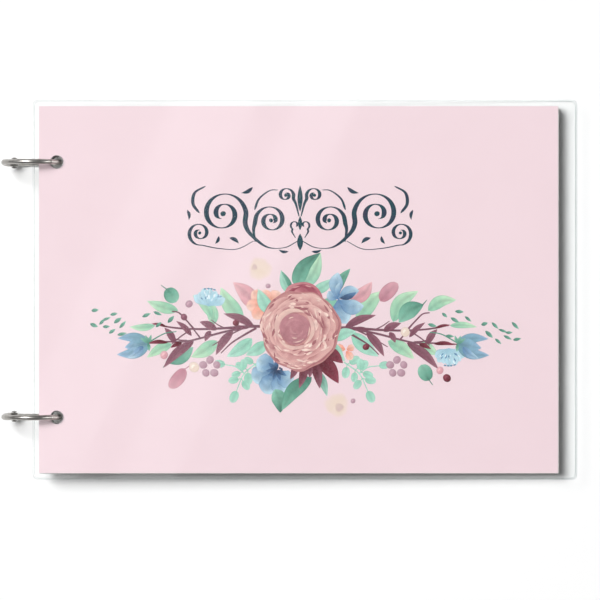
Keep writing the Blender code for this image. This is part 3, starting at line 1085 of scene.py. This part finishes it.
def along_ring(angle):
    return Vector((-sin(radians(angle)), 0, cos(radians(angle))))


def angle_of(length):
    return degrees(length / RING_RADIUS)


RIVET = on_ring(KNUCKLE_ANGLE)  # its middle


def smooth(t):
    t = min(max(t, 0.0), 1.0)
    return t * t * (3 - 2 * t)


def skin(name, loops):
    """The mesh of a shape wrapped round a row of loops and closed at both ends."""
    bm = bmesh.new()
    rows = [[bm.verts.new(point) for point in loop] for loop in loops]
    for a, b in zip(rows, rows[1:]):
        for i in range(len(a)):
            j = (i + 1) % len(a)
            bm.faces.new((a[i], a[j], b[j], b[i]))
    bm.faces.new(rows[0])
    bm.faces.new(rows[-1])
    return shaded_smooth(closed_mesh(bm, name))


def wire(name, stations):
    """Wire through (angle, half its size across the ring, half its size along the ring's axis)."""
    loops = []
    for angle, across, along in stations:
        loop = [on_ring(angle, RING_RADIUS + across * x) + Vector((0, along * y, 0)) for x, y in circle(1)]
        loops.append(loop)
    return placed(name, skin(name, loops))


def rod(name, start, end, radius, sides=ROUND_SIDES):
    turn = (end - start).to_track_quat("Z", "Y").to_matrix()
    section = [turn @ Vector((x, y, 0)) for x, y in circle(radius, sides)]
    return placed(name, skin(name, [[centre + p for p in section] for centre in (start, end)]))


def lug(name, width, direction):
    """A plate with a round end about the rivet and bevelled edges."""
    out = degrees(atan2(direction.z, direction.x))
    flat = width / 2 - LUG_BEVEL
    back = RIVET + direction * LUG_LENGTH
    loops = []
    for y, inset in ((-width / 2, LUG_BEVEL), (-flat, 0), (flat, 0), (width / 2, LUG_BEVEL)):
        radius = LUG_RADIUS - inset
        side = Vector((-direction.z, 0, direction.x)) * radius
        end = arc((RIVET.x, RIVET.z), radius, out + 90, out + 270, 24)
        outline = [(back.x - side.x, back.z - side.z), (back.x + side.x, back.z + side.z), *end]
        loops.append([(x, y, z) for x, z in outline])
    return placed(name, skin(name, loops))


def carved(name, body, steps):
    """The mesh of body after a Boolean with each solid in turn."""
    for operation, other in steps:
        cut = body.modifiers.new(other.name, "BOOLEAN")
        cut.operation = operation
        cut.object = other
    view = bpy.context.evaluated_depsgraph_get()
    mesh = bpy.data.meshes.new_from_object(body.evaluated_get(view))
    mesh.name = name
    for ob in [body, *(other for _, other in steps)]:
        bpy.data.objects.remove(ob)
    return shaded_smooth(mesh)


def rivet_bore():
    depth = Vector((0, FORK_WIDTH, 0))
    return rod("rivet_bore", RIVET - depth, RIVET + depth, PIN_BORE_RADIUS)


def clasp_end(angle, inward):
    """Stations for a wire's end with a rounded rim. inward is 1 if the wire runs to larger angles."""
    middle = CLASP_EDGE * ROUNDING
    stations = []
    for depth, inset in ((0, CLASP_EDGE), (middle, middle), (CLASP_EDGE, 0)):
        stations.append((angle + inward * angle_of(depth), WIRE_SKIN - inset, WIRE_SKIN - inset))
    return stations


def base_mesh():
    """Half a ring, narrowed to a shoulder before its tongue, with a socket in its other end."""
    end = CLASP_ANGLE - angle_of(GAP / 2)
    start = KNUCKLE_ANGLE - 360 + angle_of(TONGUE_WIRE_START)
    shoulder = angle_of(SHOULDER_LENGTH)
    stations = []
    for i in range(6):
        turn = pi / 2 * i / 6
        size = WIRE_SKIN * (SHOULDER_SIZE + (1 - SHOULDER_SIZE) * sin(turn))
        stations.append((start + shoulder * (1 - cos(turn)), size, size))
    last = end - angle_of(CLASP_RUN)
    for i in range(73):
        stations.append((start + shoulder + (last - start - shoulder) * i / 72, WIRE_SKIN, WIRE_SKIN))
    stations += reversed(clasp_end(end, -1))
    mouth = on_ring(end)
    inward = -along_ring(end)
    steps = [
        ("UNION", lug("tongue", TONGUE_WIDTH, along_ring(KNUCKLE_ANGLE))),
        ("DIFFERENCE", rivet_bore()),
        ("DIFFERENCE", rod("socket", mouth - inward * GAP, mouth + inward * SOCKET_DEPTH, SOCKET_RADIUS)),
    ]
    return carved("ring_base", wire("base_wire", stations), steps)


def gate_mesh():
    """The other half, widened into a fork round the base's tongue, with a spigot at its other end."""
    start = CLASP_ANGLE + angle_of(GAP / 2)
    end = KNUCKLE_ANGLE - angle_of(FORK_WIRE_START)
    stations = clasp_end(start, 1)
    first = start + angle_of(CLASP_RUN)
    for i in range(81):
        angle = first + (end - first) * i / 80
        spread = smooth((angle - FLARE_ANGLES[0]) / (FLARE_ANGLES[1] - FLARE_ANGLES[0]))
        deepen = smooth((angle - DEEPEN_ANGLE) / (end - DEEPEN_ANGLE))
        across = WIRE_SKIN + (LUG_RADIUS - WIRE_SKIN - UNDER_LUG) * deepen
        along = WIRE_SKIN + (FORK_WIDTH / 2 - UNDER_FORK - WIRE_SKIN) * spread
        stations.append((angle, across, along))
    tip = on_ring(start)
    outward = -along_ring(start)
    half_slot = Vector((0, TONGUE_WIDTH / 2 + GAP, 0))
    steps = [
        ("UNION", lug("fork", FORK_WIDTH, -along_ring(KNUCKLE_ANGLE))),
        ("DIFFERENCE", rod("slot", RIVET - half_slot, RIVET + half_slot, SLOT_RADIUS, 48)),
        ("DIFFERENCE", rivet_bore()),
        ("UNION", rod("spigot", tip - outward * SPIGOT_ROOT, tip + outward * SPIGOT_LENGTH, SPIGOT_RADIUS)),
    ]
    return carved("ring_gate", wire("gate_wire", stations), steps)


def rivet_mesh():
    """A pin with a domed head at each end, each with a small flat where it was struck."""
    shoulder = FORK_WIDTH / 2 + GAP
    upper = [(PIN_RADIUS, shoulder)]
    for i in range(10):
        turn = radians(DOME_ANGLE * i / 9)
        upper.append((HEAD_RADIUS * cos(turn), shoulder + HEAD_HEIGHT * sin(turn)))
    profile = [(radius, -y) for radius, y in reversed(upper)] + upper
    loops = [[(RIVET.x + x, y, RIVET.z + z) for x, z in circle(radius)] for radius, y in profile]
    return skin("ring_rivet", loops)


def make_rings():
    parts = {
        "base": (base_mesh(), nickel_material("ring_base_plate", 0.80)),
        "gate": (gate_mesh(), nickel_material("ring_gate_plate", 0.72)),
        "rivet": (rivet_mesh(), nickel_material("rivet_plate", 0.58)),
    }
    for ring, side in (("upper", 1), ("lower", -1)):
        place = ALBUM @ Matrix.Translation((0, side * HOLE_SPACING / 2, 0))
        for part, (mesh, material) in parts.items():
            node = f"{ring}_ring_{part}"
            body = f"{ring}_gate" if part == "gate" else f"{ring}_ring"
            copy = mesh.copy()
            copy.transform(place)
            add_piece(node + "_plated", copy, body, "ring_nickel", [material], [node])


# Camera, light and floor

FOCAL = 250.0
SENSOR = 36.0
FIELD = 0.3432  # what the picture's side spans on the title page
CAMERA_AIM = Vector((PAGE_MIDDLE + 0.00086, -0.00595, TITLE_TOP))
CLIP = (0.05, 50)
FLOOR_HALF = 4.0
FLOOR_DROP = 0.0002  # the floor lies this far under the album
FLOOR_TONE = (0.95, 0.95, 0.95)

# Lamps: place, size and power
KEY = ((-3.75, 2.63, 9.6), (4.5, 4.5), 1204)
REFLECTOR = ((3.2, 0.2, 1.1), (1.8, 1.8), 45)
# Strip lamps that the front cover mirrors: where each is seen across the page, and its width there
STRIPS = {"wide_strip": (-0.103, 0.043), "narrow_strip": (-0.039, 0.031)}
STRIP_HEIGHT = 7.0
STRIP_LENGTH = 1.6
STRIP_TURN = -26.0
STRIP_RADIANCE = 1.8

# The studio's grey by height, from straight down to straight up
STUDIO = ((0.0, (0.14, 0.14, 0.14)), (0.45, (0.2, 0.2, 0.2)), (0.85, (0.12, 0.12, 0.122)))


def make_camera():
    data = bpy.data.cameras.new("camera")
    data.lens = FOCAL
    data.sensor_width = SENSOR
    data.clip_start, data.clip_end = CLIP
    camera = placed("camera", data)
    distance = Vector((0, 0, FIELD * FOCAL / SENSOR))
    camera.matrix_world = ALBUM @ Matrix.Translation(CAMERA_AIM + distance)
    bpy.context.scene.camera = camera


def softbox(name, place, size, power):
    """A rectangular lamp that faces the album and isn't seen itself."""
    data = bpy.data.lights.new(name, "AREA")
    data.shape = "RECTANGLE"
    data.size, data.size_y = size
    data.energy = power
    light = placed(name, data)
    light.location = place
    light.rotation_euler = (Vector() - Vector(place)).to_track_quat("-Z", "Y").to_euler()
    light.visible_camera = False
    return light


def strip_lamp(name, across, width):
    """A faint lamp high over the album, seen in the clear cover as a slanting band of gloss."""
    spread = 1 + STRIP_HEIGHT * SENSOR / (FIELD * FOCAL)  # a mirrored lamp looks this much smaller
    size = (width * spread, STRIP_LENGTH)
    place = ALBUM @ (CAMERA_AIM + Vector((across * spread, 0, STRIP_HEIGHT)))
    lamp = softbox(name, place, size, pi * size[0] * size[1] * STRIP_RADIANCE)
    lamp.rotation_euler = (0, 0, radians(STRIP_TURN))


def make_world():
    world = bpy.data.worlds.new("studio")
    bpy.context.scene.world = world
    world.use_nodes = True
    tree = world.node_tree
    place = tree.nodes.new("ShaderNodeTexCoord")
    split = tree.nodes.new("ShaderNodeSeparateXYZ")
    ramp = tree.nodes.new("ShaderNodeValToRGB")
    tree.links.new(place.outputs["Generated"], split.inputs[0])
    tree.links.new(split.outputs["Z"], ramp.inputs[0])
    stops = ramp.color_ramp.elements
    stops.new(0.5)
    for stop, (position, grey) in zip(stops, STUDIO):
        stop.position = position
        stop.color = (*grey, 1)
    tree.links.new(ramp.outputs[0], tree.nodes["Background"].inputs["Color"])


def make_stage():
    n = Nodes("pale_floor")
    n.feed(n.shader, {"Base Color": FLOOR_TONE, "Roughness": 1.0, "Specular IOR Level": 0.0})
    mesh = bpy.data.meshes.new("floor")
    corners = [(FLOOR_HALF * x, FLOOR_HALF * y, 0) for x, y in ((-1, -1), (1, -1), (1, 1), (-1, 1))]
    mesh.from_pydata(corners, [], [(0, 1, 2, 3)])
    mesh.materials.append(n.material)
    floor = placed("floor", mesh)
    floor.location.z = -FLOOR_DROP
    make_world()
    softbox("key", *KEY)
    card = softbox("reflector", *REFLECTOR)
    card.visible_diffuse = False  # it only puts a second highlight on the rings
    for name, (across, width) in STRIPS.items():
        strip_lamp(name, across, width)
    scene = bpy.context.scene
    scene.view_settings.view_transform = "Standard"
    scene.view_settings.look = "None"


make_camera()
make_stage()
make_sheets()
make_print()
make_rings()
